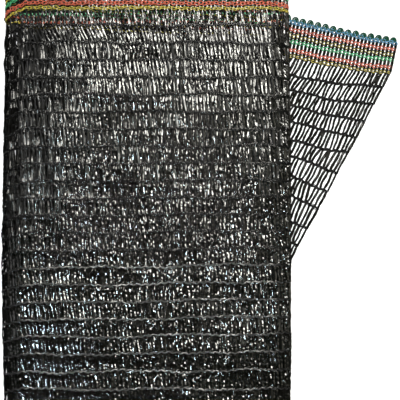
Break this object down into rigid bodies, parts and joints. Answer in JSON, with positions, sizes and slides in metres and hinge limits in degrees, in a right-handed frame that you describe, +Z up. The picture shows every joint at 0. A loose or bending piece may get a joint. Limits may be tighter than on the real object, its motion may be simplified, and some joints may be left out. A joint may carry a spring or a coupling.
{
  "type": "folded shade net",
  "caption": "Black knitted shade net with a striped coloured selvedge, folded into a flat bundle, its cut end lying out at one side as a single layer.",
  "frame": {"origin": "middle of the bounding box, on the surface the bundle lies on", "axes": "+Z up from that surface, +Y towards the coloured selvedge, +X towards the free cut end"},
  "size_m": [0.2974, 0.34, 0.0345],
  "materials": {
    "black_tape": "thin glossy black plastic tape",
    "black_yarn": "fine black plastic yarn, knitted into chains",
    "dark_green_yarn": "dark green plastic yarn, knitted into edge loops",
    "blue_yarn": "blue plastic yarn",
    "red_yarn": "salmon red plastic yarn",
    "yellow_yarn": "yellow plastic yarn",
    "green_yarn": "mint green plastic yarn"
  },
  "bodies": {
    "root": {"shade_net": "black_tape"}
  },
  "joints": []
}
